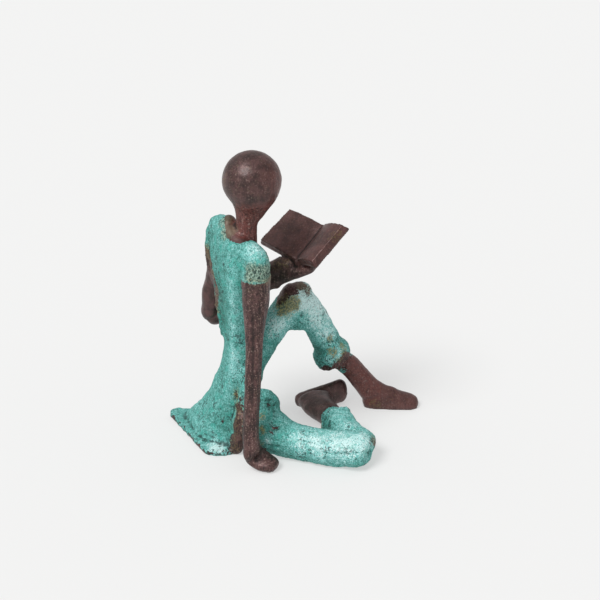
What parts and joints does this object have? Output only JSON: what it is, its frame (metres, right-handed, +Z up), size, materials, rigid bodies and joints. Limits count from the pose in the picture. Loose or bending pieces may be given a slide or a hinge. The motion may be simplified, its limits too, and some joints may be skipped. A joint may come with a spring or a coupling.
{
  "type": "reading child figurine",
  "caption": "Small cast bronze statuette of a seated child leaning on one hand and reading an open book, with one knee raised and one leg folded.",
  "frame": {"origin": "on the surface that the figurine sits on, below the middle of its box", "axes": "+Z up; +X is the viewer's right and +Y away from the viewer, who looks at the child's back and right side"},
  "size_m": [0.0896, 0.0556, 0.1055],
  "materials": {
    "patinated_bronze": "lost-wax bronze: turquoise verdigris on the tunic and trousers, bare dark brown bronze on head, limbs and book"
  },
  "bodies": {
    "root": {"reading_child_cast": "patinated_bronze"}
  },
  "joints": []
}
